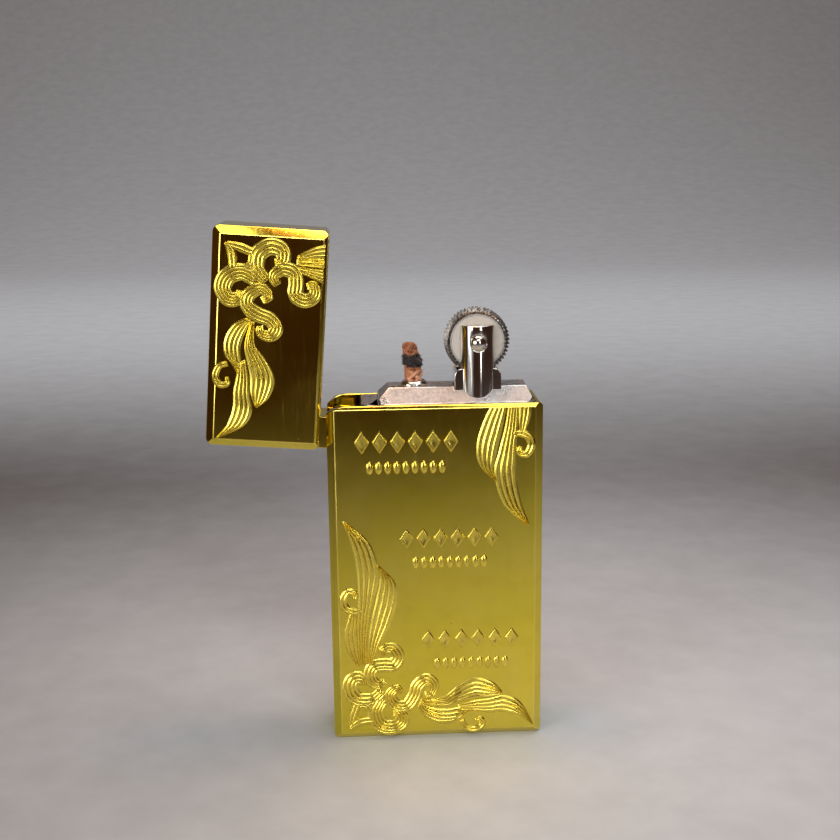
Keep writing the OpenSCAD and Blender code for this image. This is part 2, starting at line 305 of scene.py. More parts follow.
def round_edges(piece, width, surface, edge):
    """Rounds the piece's sharp edges, and gives the rounding its own worn finish."""
    piece.data.materials.append(surface)
    piece.data.materials.append(edge)
    rounding = piece.modifiers.new("rounding", "BEVEL")
    rounding.width = width
    rounding.segments = 3
    rounding.limit_method = "ANGLE"
    rounding.angle_limit = math.radians(30)
    rounding.use_clamp_overlap = False
    rounding.material = 1
    apply_modifiers(piece)
    smooth(piece)
    flats = piece.modifiers.new("flats", "WEIGHTED_NORMAL")
    flats.keep_sharp = True
    apply_modifiers(piece)


def place(piece, body, slot, *nodes):
    """Hands a finished piece to its body and hides the nodes that it stands for; slot is not used.
    """
    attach(piece, body)
    if nodes:
        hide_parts(*nodes)


# ---- finishes ----

SOOT = (0.012, 0.008, 0.007)
FRESH_COTTON = (0.82, 0.48, 0.31)
BRIGHT_NICKEL = (0.85, 0.82, 0.77)


def put(tree, kind, inputs, **settings):
    """Adds a shader node. An input is a number, a colour or another node's output."""
    made = tree.nodes.new(kind)
    for key, value in settings.items():
        setattr(made, key, value)
    for key, value in inputs.items():
        if isinstance(value, bpy.types.NodeSocket):
            tree.links.new(value, made.inputs[key])
        else:
            made.inputs[key].default_value = value
    return made


def rgba(colour, share=1.0):
    """A colour at a share of its brightness, with its alpha."""
    return tuple(min(1.0, part * share) for part in colour[:3]) + (1.0,)


def new_finish(name, metallic, roughness):
    """A named material, its node tree and its shader."""
    material = bpy.data.materials.new(name)
    material.use_nodes = True
    tree = material.node_tree
    shader = tree.nodes["Principled BSDF"]
    shader.inputs["Metallic"].default_value = metallic
    shader.inputs["Roughness"].default_value = roughness
    return material, tree, shader


def dress(tree, shader, colour, roughness, normal):
    """Feeds a finish's colour, roughness and normal to its shader."""
    for key, value in (("Base Color", colour), ("Roughness", roughness), ("Normal", normal)):
        tree.links.new(value, shader.inputs[key])


def spot(tree, stretch=(1, 1, 1), centre=(0, 0, 0)):
    """Object coordinates, measured from centre and stretched."""
    source = put(tree, "ShaderNodeTexCoord", {})
    shift = tuple(-part * factor for part, factor in zip(centre, stretch))
    mapping = put(
        tree,
        "ShaderNodeMapping",
        {"Vector": source.outputs["Object"], "Scale": stretch, "Location": shift},
    )
    return mapping.outputs["Vector"]


def noise(tree, where, per_metre, detail=3.0, rough=0.55):
    """Fractal noise with that many features per metre."""
    made = put(
        tree,
        "ShaderNodeTexNoise",
        {"Vector": where, "Scale": per_metre, "Detail": detail, "Roughness": rough},
    )
    return made.outputs["Fac"]


def remap(tree, value, low, high, to_low, to_high):
    """Maps value from low..high to to_low..to_high, held at both ends."""
    made = put(
        tree,
        "ShaderNodeMapRange",
        {"Value": value, "From Min": low, "From Max": high, "To Min": to_low, "To Max": to_high},
    )
    return made.outputs["Result"]


def tint(tree, share, first, second):
    """Blends from the first colour to the second by share."""
    made = put(tree, "ShaderNodeMix", {0: share, 6: first, 7: second}, data_type="RGBA")
    return made.outputs[2]


def arithmetic(tree, operation, first, second):
    """One sum or product of two values."""
    made = put(tree, "ShaderNodeMath", {0: first, 1: second}, operation=operation)
    return made.outputs[0]


def bump(tree, height, strength, distance, below=None):
    """A bump of that height, laid over another one if below is given."""
    inputs = {"Height": height, "Strength": strength, "Distance": distance}
    if below is not None:
        inputs["Normal"] = below
    return put(tree, "ShaderNodeBump", inputs).outputs["Normal"]


def polished_gold(name, colour, dull):
    """Bright plating with cloudy haze, faint waviness, rubbing marks and tiny dark pits."""
    material, tree, shader = new_finish(name, 1.0, 0.1)
    here = spot(tree)
    haze = noise(tree, here, 95, 5, 0.62)
    mottle = noise(tree, here, 420, 4, 0.6)
    rubbed = noise(tree, spot(tree, (5200, 5200, 260)), 1, 2, 0.5)
    speckle = put(tree, "ShaderNodeTexVoronoi", {"Vector": here, "Scale": 560})
    pit = remap(tree, speckle.outputs["Distance"], 0.035, 0.07, 1, 0)
    pits = arithmetic(tree, "MULTIPLY", pit, remap(tree, mottle, 0.58, 0.62, 0, 1))
    cloud = remap(tree, haze, 0.42, 0.68, 0, 1)
    paler = rgba((colour[0] * 1.04, colour[1] * 1.03, colour[2] * 1.5))
    toned = tint(tree, cloud, rgba(colour), paler)
    shade = tint(tree, remap(tree, mottle, 0.5, 0.75, 0, 0.25), toned, rgba(colour, 0.72))
    pitted = tint(tree, pits, shade, rgba(colour, 0.12))
    soft = remap(tree, haze, 0.4, 0.7, dull * 0.6, dull * 1.7)
    marks = remap(tree, rubbed, 0.55, 0.8, 0, 0.1)
    worn = arithmetic(tree, "ADD", arithmetic(tree, "ADD", soft, marks), pits)
    wavy = bump(tree, noise(tree, here, 210, 1, 0.4), 0.35, 0.00003)
    peel = bump(tree, noise(tree, here, 1500, 2, 0.5), 0.2, 0.000004, wavy)
    dress(tree, shader, pitted, worn, bump(tree, pits, -0.3, 0.00001, peel))
    return material


def satin_gold(name, colour):
    """Raised gold, matted by its mould and rubbed bright in places."""
    material, tree, shader = new_finish(name, 1.0, 0.3)
    here = spot(tree)
    grain = noise(tree, here, 5200, 3, 0.6)
    cloud = noise(tree, here, 600, 3, 0.6)
    toned = tint(tree, remap(tree, cloud, 0.4, 0.65, 0, 1), rgba(colour), rgba(colour, 0.82))
    worn = remap(tree, cloud, 0.35, 0.7, 0.2, 0.38)
    dress(tree, shader, toned, worn, bump(tree, grain, 0.4, 0.000012))
    return material


def cast_metal(name, colour):
    """Plated casting with a sandy skin."""
    material, tree, shader = new_finish(name, 1.0, 0.35)
    here = spot(tree)
    sand = noise(tree, here, 1900, 6, 0.8)
    patch = noise(tree, here, 500, 4, 0.6)
    toned = tint(tree, remap(tree, sand, 0.36, 0.66, 0, 1), rgba(colour, 1.15), rgba(colour, 0.5))
    warm = rgba((colour[0] * 0.96, colour[1] * 0.93, colour[2] * 0.9))
    patched = tint(tree, remap(tree, patch, 0.45, 0.7, 0, 0.6), toned, warm)
    worn = remap(tree, patch, 0.35, 0.7, 0.24, 0.44)
    dress(tree, shader, patched, worn, bump(tree, sand, 1.0, 0.00016))
    return material


def drawn_metal(name, colour, dull, per_metre=7000):
    """Metal with fine streaks along Z, as drawing and polishing leave them."""
    material, tree, shader = new_finish(name, 1.0, dull)
    streaks = noise(tree, spot(tree, (per_metre, per_metre, per_metre / 45)), 1, 3, 0.6)
    smear = noise(tree, spot(tree), 700, 3, 0.6)
    toned = tint(tree, remap(tree, streaks, 0.35, 0.7, 0, 0.5), rgba(colour), rgba(colour, 0.7))
    rough = remap(tree, streaks, 0.3, 0.7, dull * 0.7, dull * 1.35)
    smudged = arithmetic(tree, "ADD", rough, remap(tree, smear, 0.4, 0.8, 0, dull * 0.3))
    dress(tree, shader, toned, smudged, bump(tree, streaks, 0.12, 0.000008))
    return material


def turned_metal(name, colour, dull, centre, per_metre=2600):
    """Metal turned on a lathe about an axis along Y through centre."""
    material, tree, shader = new_finish(name, 1.0, dull)
    rings = put(
        tree,
        "ShaderNodeTexWave",
        {"Vector": spot(tree, centre=centre), "Scale": per_metre, "Distortion": 1.2, "Detail": 2.0},
        wave_type="RINGS",
        rings_direction="Y",
    ).outputs["Fac"]
    patch = noise(tree, spot(tree), 900, 4, 0.65)
    toned = tint(tree, remap(tree, patch, 0.45, 0.75, 0, 0.5), rgba(colour), rgba(colour, 0.8))
    worn = remap(tree, patch, 0.35, 0.7, dull * 0.8, dull * 1.3)
    grain = bump(tree, noise(tree, spot(tree), 9000, 2, 0.6), 0.3, 0.000008)
    dress(tree, shader, toned, worn, bump(tree, rings, 0.12, 0.000006, grain))
    return material


def blackened_steel(name, colour):
    """Hardened steel, mottled at random between dark scale and bare metal."""
    material, tree, shader = new_finish(name, 1.0, 0.4)
    here = spot(tree)
    scale = noise(tree, here, 2600, 4, 0.65)
    toned = tint(tree, remap(tree, scale, 0.4, 0.66, 0, 1), rgba(colour, 0.45), rgba(colour, 1.9))
    grain = bump(tree, noise(tree, here, 8000, 3, 0.6), 0.4, 0.00001)
    dress(tree, shader, toned, remap(tree, scale, 0.35, 0.7, 0.5, 0.28), grain)
    return material


def scorched_braid(name, colour):
    """Cotton strands: black where the char attribute is high, paler where it is below zero."""
    material, tree, shader = new_finish(name, 0.0, 0.9)
    here = spot(tree)
    fibre = noise(tree, spot(tree, (9000, 9000, 1400)), 1, 4, 0.65)
    cloud = noise(tree, here, 1300, 3, 0.6)
    toned = tint(tree, remap(tree, fibre, 0.3, 0.72, 0, 1), rgba(colour, 0.55), rgba(colour, 1.7))
    stained = tint(tree, remap(tree, cloud, 0.45, 0.7, 0, 0.7), toned, rgba(colour, 0.35))
    char = put(tree, "ShaderNodeAttribute", {}, attribute_name="char").outputs["Fac"]
    fresh = tint(tree, remap(tree, fibre, 0.3, 0.72, 0, 1), rgba(colour, 1.1), rgba(FRESH_COTTON))
    faded = tint(tree, remap(tree, char, 0, -0.4, 0, 0.85), stained, fresh)
    ragged = arithmetic(tree, "ADD", char, remap(tree, fibre, 0.3, 0.7, -0.25, 0.25))
    black = remap(tree, ragged, 0.35, 0.6, 0, 1)
    charred = tint(tree, black, faded, rgba(SOOT))
    matt = remap(tree, fibre, 0.3, 0.7, 0.75, 1)
    dress(tree, shader, charred, matt, bump(tree, fibre, 0.7, 0.00005))
    shader.inputs["Sheen Weight"].default_value = 0.25
    return material


def fibre_mat(name, colour, per_metre):
    """Matted fibres: cotton wool or felt."""
    material, tree, shader = new_finish(name, 0.0, 0.95)
    here = spot(tree)
    tangle = put(
        tree,
        "ShaderNodeTexNoise",
        {"Vector": here, "Scale": per_metre, "Detail": 5.0, "Roughness": 0.7, "Distortion": 2.5},
    ).outputs["Fac"]
    cloud = noise(tree, here, per_metre / 6, 3, 0.6)
    toned = tint(tree, remap(tree, tangle, 0.3, 0.7, 0, 1), rgba(colour, 0.62), rgba(colour, 1.08))
    shaded = tint(tree, remap(tree, cloud, 0.4, 0.7, 0, 0.35), toned, rgba(colour, 0.7))
    matt = remap(tree, tangle, 0.3, 0.7, 0.85, 1)
    dress(tree, shader, shaded, matt, bump(tree, tangle, 0.8, 0.00012))
    shader.inputs["Sheen Weight"].default_value = 0.3
    return material


def finish(name, make, *details):
    """The finish of that name, made the first time that it is asked for."""
    return bpy.data.materials.get(name) or make(name, *details)


# ---- raised scrolls ----

RELIEF_SUNK = 0.015 * MM  # how far a sheet's edge lies below the face
RELIEF_ROOT = 0.12 * MM  # how far its closed back goes into the wall


def along_line(points, share):
    """The point at share 0..1 of a smooth line through the given points."""
    last = len(points) - 1
    position = min(share, 0.999999) * last
    span = int(position)
    rest = position - span
    a = points[max(span - 1, 0)]
    b = points[span]
    c = points[span + 1]
    d = points[min(span + 2, last)]
    return 0.5 * (
        2 * b
        + (c - a) * rest
        + (2 * a - 5 * b + 4 * c - d) * rest**2
        + (3 * b - a - 3 * c + d) * rest**3
    )


def ribbon_edges(points, widths):
    """The two edge lines of a ribbon that follows points and runs through widths."""
    line = [Vector(point) for point in points]
    count = len(line) * 3
    left = []
    right = []
    for step in range(count + 1):
        share = step / count
        here = along_line(line, share)
        ahead = along_line(line, min(share + 0.01, 1)) - along_line(line, max(share - 0.01, 0))
        across = Vector((-ahead.y, ahead.x)).normalized()
        spread = share * (len(widths) - 1)
        low = min(int(spread), len(widths) - 2)
        width = widths[low] + (widths[low + 1] - widths[low]) * (spread - low)
        left.append(here + across * width / 2)
        right.append(here - across * width / 2)
    return left, right


def ridged_sheet(left, right, ridges, height):
    """A ridged, swelling sheet between two edge lines on the front face, closed at its back."""
    length = sum((b - a).length for a, b in zip(left, left[1:]))
    bpy.ops.mesh.primitive_grid_add(
        x_subdivisions=ridges * 5,
        y_subdivisions=max(14, int(length * 7)),
        size=1,
    )
    piece = bpy.context.object
    for point in piece.data.vertices:
        across = point.co.x + 0.5
        share = point.co.y + 0.5
        target = along_line(left, share).lerp(along_line(right, share), across)
        swell = math.sin(math.pi * across) ** 0.5 * min(1, 4.5 * math.sin(math.pi * share) ** 0.8)
        ridge = 0.3 + 0.7 * abs(math.sin(math.pi * ridges * across)) ** 0.8
        rise = height * swell * ridge - RELIEF_SUNK
        point.co = (target.x * MM, CASE_LOW.y - rise, target.y * MM)
    bpy.ops.object.mode_set(mode="EDIT")
    bpy.ops.mesh.select_all(action="SELECT")
    bpy.ops.mesh.extrude_region_move(TRANSFORM_OT_translate={"value": (0, RELIEF_ROOT, 0)})
    bpy.ops.object.mode_set(mode="OBJECT")
    face_outwards(piece)
    return piece


# Lower left flourish: leaves by their two edges from root to tip, then scrolls by their middle
# line and widths. Millimetres across the face from its middle, and up from the foot. The last
# number is how many ridges a sheet has.
LEAVES = [
    ([(-9.6, 9.8), (-9.9, 12.5), (-9.9, 15.5), (-9.7, 19), (-9.8, 22.5), (-10.4, 25.8)]
     + [(-11.4, 28.5)],
     [(-8.9, 9.8), (-8.7, 13), (-8.3, 16), (-7.6, 19), (-7.0, 22), (-8.2, 25.9)]
     + [(-11.2, 28.7)], 4),
    ([(-8.8, 9.9), (-8.6, 13), (-8.1, 16), (-7.4, 19), (-7.0, 21.4), (-7.4, 22.8)],
     [(-8.2, 9.8), (-7.2, 12.4), (-5.8, 15.2), (-4.9, 18.2), (-5.2, 20.8), (-7.3, 23.1)], 4),
    ([(-10.1, 9.9), (-11.2, 12), (-11.5, 14.2), (-11.0, 16.2), (-10.3, 17.6)],
     [(-9.5, 9.8), (-9.8, 12), (-9.9, 14), (-9.9, 15.8), (-10.1, 17.5)], 3),
    ([(-2.3, 4.9), (-0.6, 4.2), (1.0, 3.8), (2.6, 4.0), (3.6, 4.2), (4.4, 3.8)],
     [(-2.6, 4.4), (-1.8, 2.9), (0.0, 1.9), (1.8, 1.9), (3.0, 2.8), (4.3, 3.6)], 4),
    ([(-2.2, 5.3), (0.5, 5.5), (2.4, 6.9), (4.6, 7.9), (6.8, 7.3), (8.1, 5.9)],
     [(-2.2, 4.8), (0.8, 4.2), (2.8, 4.6), (4.6, 5.0), (6.4, 5.1), (8.0, 5.7)], 5),
    ([(2.4, 4.4), (4.6, 4.9), (6.6, 5.1), (8.6, 5.4), (10.4, 4.4), (12.0, 1.4)],
     [(2.6, 3.6), (4.4, 3.4), (6.2, 3.1), (8.2, 3.1), (10.2, 2.5), (11.9, 1.3)], 4),
]
SCROLLS = [
    ([(-6.5, 7.8), (-7.5, 7.3), (-8.4, 8.3), (-8.0, 9.6), (-6.8, 9.9)]
     + [(-5.5, 9.9), (-4.9, 11.0), (-5.6, 12.1), (-6.7, 11.9), (-6.5, 11.1)],
     (1.0, 1.8, 1.9, 1.7, 0.8), 4),
    ([(-6.9, 6.5), (-8.2, 5.4), (-9.9, 5.4), (-10.9, 6.7), (-10.5, 8.1), (-9.3, 8.2)]
     + [(-9.1, 7.3)], (1.4, 2.0, 2.1, 1.9, 0.9), 4),
    ([(-6.9, 5.4), (-7.8, 3.7), (-7.3, 2.1), (-5.9, 1.5), (-4.6, 2.2), (-4.8, 3.4)]
     + [(-5.7, 3.5)], (1.7, 2.2, 2.1, 1.8, 0.9), 5),
    ([(-4.6, 6.0), (-5.2, 6.8), (-6.0, 5.8), (-5.2, 4.5), (-3.9, 4.4), (-3.0, 5.6)]
     + [(-2.5, 7.0), (-1.5, 7.8), (-0.6, 7.2), (-0.8, 6.1), (-1.7, 5.9)],
     (0.9, 1.6, 1.8, 1.7, 0.8), 4),
    ([(-9.3, 17.3), (-10.0, 17.0), (-11.1, 17.4), (-11.5, 18.5), (-10.9, 19.6), (-10.0, 19.3)]
     + [(-10.2, 18.6)], (0.7, 1.0, 1.1, 0.9, 0.5), 2),
    ([(3.0, 2.4), (3.3, 1.4), (4.5, 0.95), (5.5, 1.5), (5.3, 2.4), (4.5, 2.3)],
     (0.6, 0.9, 0.9, 0.8, 0.4), 2),
    ([(-11.0, 1.8), (-10.6, 3.3), (-10.1, 4.7)], (0.5, 1.1, 1.0), 2),
    ([(-11.1, 1.7), (-9.8, 2.4), (-8.2, 2.6)], (0.5, 1.1, 1.0), 2),
    ([(-10.0, 4.6), (-9.0, 4.6), (-8.4, 3.9), (-8.3, 2.7)], (0.6, 0.8, 0.8, 0.6), 2),
]
# Rows of studs: left end, right end, foot and top, in millimetres, and the number in the row.
STUD_ROWS = [
    (-9.9, 2.9, 36.6, 39.9, 6),
    (-4.7, 7.7, 24.7, 27.7, 6),
    (-2.2, 10.2, 11.7, 14.6, 6),
]
BEAD_ROWS = [
    (-8.5, 1.3, 34.3, 35.9, 9),
    (-3.1, 6.3, 22.3, 23.9, 9),
    (-0.6, 8.9, 9.1, 10.7, 9),
]


def flourish(height):
    """The lower left flourish of the front face."""
    parts = []
    for left, right, ridges in LEAVES:
        edges = [[Vector(point) for point in line] for line in (left, right)]
        parts.append(ridged_sheet(*edges, ridges, height))
    for points, widths, ridges in SCROLLS:
        parts.append(ridged_sheet(*ribbon_edges(points, widths), ridges, height * 0.96))
    return joined(parts, "flourish")


def turn_about_y(piece, centre, angle):
    """Turns a piece's mesh about the Y axis through centre."""
    move = Matrix.Translation(centre)
    piece.data.transform(move @ Matrix.Rotation(angle, 4, "Y") @ move.inverted())


def cut_level(piece, level, keep_below):
    """Cuts a piece at a level, keeps what is below or above, and closes each open end."""
    pick(piece)
    bpy.ops.object.mode_set(mode="EDIT")
    bpy.ops.mesh.select_all(action="SELECT")
    bpy.ops.mesh.bisect(
        plane_co=(0, 0, level),
        plane_no=(0, 0, 1),
        use_fill=False,
        clear_inner=not keep_below,
        clear_outer=keep_below,
    )
    bpy.ops.mesh.select_all(action="SELECT")
    bpy.ops.mesh.fill_holes(sides=0)
    bpy.ops.object.mode_set(mode="OBJECT")
    face_outwards(piece)


def stud_rows(height):
    """Rows of raised lozenges with rows of beads below."""
    parts = []
    bpy.ops.mesh.primitive_cone_add(vertices=4, radius1=0.5, radius2=0.38, depth=1)
    lozenge = named("lozenge")
    bpy.ops.object.mode_set(mode="EDIT")
    bpy.ops.mesh.select_all(action="SELECT")
    bpy.ops.mesh.bevel(offset=0.04, segments=2, affect="EDGES")
    choose_faces(lozenge, lambda face: face.normal.z > 0.9 and face.calc_area() > 0.1)
    bpy.ops.mesh.inset(thickness=0.09, depth=-0.22)
    bpy.ops.object.mode_set(mode="OBJECT")
    bpy.ops.mesh.primitive_uv_sphere_add(segments=16, ring_count=8, radius=0.5)
    bead = named("bead")
    for rows, pattern, share in ((STUD_ROWS, lozenge, 1.0), (BEAD_ROWS, bead, 0.8)):
        for left, right, foot, top, count in rows:
            pitch = (right - left) / count
            for index in range(count):
                stud = copied(pattern, "stud")
                middle = (left + pitch * (index + 0.5)) * MM
                size = Matrix.Diagonal((pitch * share * MM, (top - foot) * MM, 2 * height, 1))
                stud.data.transform(Matrix.Rotation(math.radians(90), 4, "X") @ size)
                stud.data.transform(
                    Matrix.Translation((middle, CASE_LOW.y, (foot + top) / 2 * MM))
                )
                parts.append(stud)
    for pattern in (lozenge, bead):
        bpy.data.objects.remove(pattern)
    return joined(parts, "studs")


# ---- stage ----

# Millimetres, in the frame of the lighter.
CAMERA_PLACE = (-8.776, -149.158, 72.729)
CAMERA_AIM = (-1.623, 0, 39.885)
CAMERA_ROLL = math.radians(-0.693)
CAMERA_LENS = 53.571
WHITE = (1, 1, 1)
FLAME = (1, 0.42, 0.14)
DARK_ROOM = (0.072, 0.026, 0.011)
# Name, place and aim in millimetres, width and height, share of the lamp power, spread, colour.
LAMPS = [
    ("overhead", (64, 0, 200), (46, -16, 0), (200, 120), 0.9, 84, WHITE),
    ("front_top", (0, -220, 240), (0, 10, 30), (220, 50), 0.45, 50, WHITE),
    ("lid_strip", (-34, -8, 150), (-20, -4, 60), (50, 24), 0.035, 90, WHITE),
    ("backdrop", (0, 180, 430), (0, 1500, 130), (800, 300), 60, 170, WHITE),
    ("left_strip", (-200, -165, 80), (0, 0, 45), (190, 150), 0.95, 50, WHITE),
    ("right_strip", (95, -250, 95), (5, 0, 45), (30, 150), 0.18, 50, WHITE),
    ("warm_glow", (-8, 4, 118), (4, 0, 45), (22, 22), 0.16, 120, FLAME),
]


# ---- operators ----


class LIGHTER_OT_case(bpy.types.Operator):
    """Adds the case and the lid, with rounded and worn edges"""

    bl_idname = "lighter.case"
    bl_label = "Case and lid"

    def execute(self, context):
        metals = context.scene.lighter_metals
        plate = finish("gold_plate_polished", polished_gold, metals.gold, 0.1)
        edge = finish("gold_plate_edge", polished_gold, metals.relief_gold, 0.17)
        for node, body in (("case_shell", "case"), ("lid", "lid")):
            piece = node_copy(node, node + "_plated")
            round_edges(piece, metals.edge_round, plate, edge)
            place(piece, body, "gold_plate", node)
        return {"FINISHED"}


class LIGHTER_OT_relief(bpy.types.Operator):
    """Adds the raised scrolls and studs of the case and the lid"""

    bl_idname = "lighter.relief"
    bl_label = "Relief"

    def execute(self, context):
        metals = context.scene.lighter_metals
        satin = finish("gold_relief", satin_gold, metals.relief_gold)
        low = flourish(metals.relief_height)
        high = copied(low, "flourish_high")
        turn_about_y(high, Vector((0, 0, SHUT_HEIGHT / 2)), math.pi)
        for part in (low, high):
            part.data.materials.append(satin)
        on_lid = copied(high, "lid_scrolls")
        cut_level(high, RIM - SEAM_MARGIN, True)
        cut_level(on_lid, RIM + SEAM_MARGIN, False)
        on_case = joined([low, high], "case_scrolls")
        for part, name in ((on_case, "case_scrolls_rear"), (on_lid, "lid_scrolls_rear")):
            twin = copied(part, name)
            twin.data.transform(Matrix.Rotation(math.pi, 4, "Z"))
            if part is on_lid:
                turn_about_y(twin, PIVOT, -OPEN_ANGLE)
                turn_about_y(part, PIVOT, -OPEN_ANGLE)
            for piece in (part, twin):
                smooth(piece, 50)
                place(piece, "lid" if part is on_lid else "case", "gold_plate")
        studs = stud_rows(metals.relief_height * 0.9)
        studs.data.materials.append(satin)
        studs.name = "case_studs"
        smooth(studs, 40)
        place(studs, "case", "gold_plate")
        return {"FINISHED"}


class LIGHTER_OT_head(bpy.types.Operator):
    """Adds the insert's cast head, the wick's eyelet, the bracket and the rivet"""

    bl_idname = "lighter.head"
    bl_label = "Insert head and bracket"

    def execute(self, context):
        metals = context.scene.lighter_metals
        cast = finish("cast_head_sandy", cast_metal, metals.cast)
        cast_edge = finish("cast_head_edge", drawn_metal, metals.cast, 0.2)
        bright = finish("nickel_polished", drawn_metal, metals.nickel, 0.1)
        bright_edge = finish("nickel_edge", drawn_metal, BRIGHT_NICKEL, 0.16)
        steel = finish("rivet_bright", drawn_metal, (0.70, 0.66, 0.60), 0.14)
        for node, width, skin, edge, slot in (
            ("insert_head", 0.09 * MM, cast, cast_edge, "cast_head"),
            ("wheel_bracket", 0.08 * MM, bright, bright_edge, "nickel"),
            ("wick_ferrule", 0.05 * MM, bright_edge, bright, "nickel"),
            ("wheel_axle", 0.04 * MM, steel, bright_edge, "rivet_steel"),
        ):
            piece = node_copy(node, node + "_finished")
            round_edges(piece, width, skin, edge)
            place(piece, "insert", slot, node)
        return {"FINISHED"}


class LIGHTER_OT_wheel(bpy.types.Operator):
    """Adds the crosscut spark wheel with its chamfers and turned sides"""

    bl_idname = "lighter.wheel"
    bl_label = "Spark wheel"

    rim_share = 0.78  # width of the toothed rim as a share of the wheel's width

    def flat(self, face):
        """Whether a face is one of the two round sides that are still to be inset."""
        return abs(face.normal.y) > 0.9 and len(face.verts) > 50

    def inset(self, piece, width, depth=0.0):
        """Insets the two round sides, and lifts or sinks them by depth."""
        choose_faces(piece, self.flat)
        bpy.ops.mesh.inset(thickness=width * MM, depth=depth * MM, use_individual=True)

    def body(self, root, half):
        """The wheel's body: a drum with chamfered rims, a bright ring and a sunk side."""
        bpy.ops.mesh.primitive_cylinder_add(
            vertices=120,
            radius=root,
            depth=2 * half,
            location=WHEEL_CENTRE,
            rotation=(math.radians(90), 0, 0),
        )
        piece = named("wheel_body")
        bpy.ops.object.mode_set(mode="EDIT")
        self.inset(piece, 0.36)
        choose_points(piece, lambda co: self.reach(co) > root - 0.1 * MM)
        bpy.ops.transform.resize(value=(1, self.rim_share, 1), center_override=WHEEL_CENTRE)
        self.inset(piece, 0.1)
        self.tag(piece, lambda face: abs(face.normal.y) > 0.9 and len(face.verts) < 50, 1)
        self.inset(piece, 0.05, -0.05)
        self.inset(piece, 1.6)
        self.inset(piece, 0.9, 0.04)
        self.tag(piece, lambda face: self.reach(face.calc_center_median()) < root - 0.5 * MM, 2)
        bpy.ops.object.mode_set(mode="OBJECT")
        return piece

    def tag(self, piece, wanted, index):
        """In edit mode, gives the faces that wanted accepts a finish by its place in the list."""
        mesh = bmesh.from_edit_mesh(piece.data)
        for face in mesh.faces:
            if wanted(face):
                face.material_index = index
        bmesh.update_edit_mesh(piece.data)

    def reach(self, co):
        """Distance of a point from the wheel's axis."""
        return math.hypot(co.x - WHEEL_CENTRE.x, co.z - WHEEL_CENTRE.z)

    def row(self, teeth, across, foot, height, half_width, offset, tilt):
        """One row of raked teeth: one is modelled at the top of the wheel and spun round."""
        pitch = 2 * math.pi / teeth
        bpy.ops.mesh.primitive_cone_add(
            vertices=4,
            radius1=0.7071,
            radius2=0.16,
            depth=1,
            location=(0, 0, 0.5),
            rotation=(0, 0, math.radians(45)),
        )
        tooth = named("tooth")
        wide = pitch * foot * 1.02
        tooth.data.transform(Matrix.Diagonal((wide, 2 * half_width, height, 1)))
        bpy.ops.object.mode_set(mode="EDIT")
        choose_points(tooth, lambda co: co.z > height / 2)
        bpy.ops.transform.translate(value=(wide * 0.3, 0, 0))
        bpy.ops.object.mode_set(mode="OBJECT")
        tooth.data.transform(Matrix.Rotation(tilt, 4, "X"))
        tooth.data.transform(Matrix.Translation((0, across, foot - 0.06 * MM)))
        tooth.data.transform(Matrix.Rotation(offset * pitch, 4, "Y"))
        tooth.data.transform(Matrix.Translation(WHEEL_CENTRE))
        bpy.ops.object.mode_set(mode="EDIT")
        bpy.ops.mesh.select_all(action="SELECT")
        bpy.ops.mesh.spin(
            steps=teeth - 1,
            dupli=True,
            angle=pitch * (teeth - 1),
            center=WHEEL_CENTRE,
            axis=(0, 1, 0),
        )
        bpy.ops.object.mode_set(mode="OBJECT")
        return tooth

    def execute(self, context):
        wheel = context.scene.lighter_wheel
        root = WHEEL_RADIUS - wheel.tooth_height
        half = WHEEL_WIDTH / 2
        steel = finish("wheel_steel_toothed", blackened_steel, wheel.steel)
        ring = finish("wheel_steel_ring", turned_metal, (0.8, 0.77, 0.7), 0.18, WHEEL_CENTRE)
        side = finish("wheel_steel_side", turned_metal, wheel.side, 0.5, WHEEL_CENTRE)
        for satin in (ring, side):
            satin.node_tree.nodes["Principled BSDF"].inputs["Metallic"].default_value = 0.4
        parts = [self.body(root, half)]
        for material in (steel, ring, side):
            parts[0].data.materials.append(material)
        step = WHEEL_WIDTH * self.rim_share / wheel.rows
        for index in range(wheel.rows):
            across = (index - (wheel.rows - 1) / 2) * step
            height = wheel.tooth_height + 0.05 * MM
            parts.append(self.row(wheel.teeth, across, root, height, step * 0.46, index % 2 / 4, 0))
            parts[-1].data.materials.append(steel)
        foot = root - 0.14 * MM
        for end in (-1, 1):
            across = end * (half * self.rim_share + 0.2 * MM)
            tilt = end * math.radians(-50)
            parts.append(self.row(wheel.teeth, across, foot, 0.2 * MM, 0.17 * MM, 0.5, tilt))
            parts[-1].data.materials.append(steel)
        piece = joined(parts, "spark_wheel_crosscut")
        face_outwards(piece)
        smooth(piece, 25)
        place(piece, "wheel", "wheel_steel", "spark_wheel")
        return {"FINISHED"}


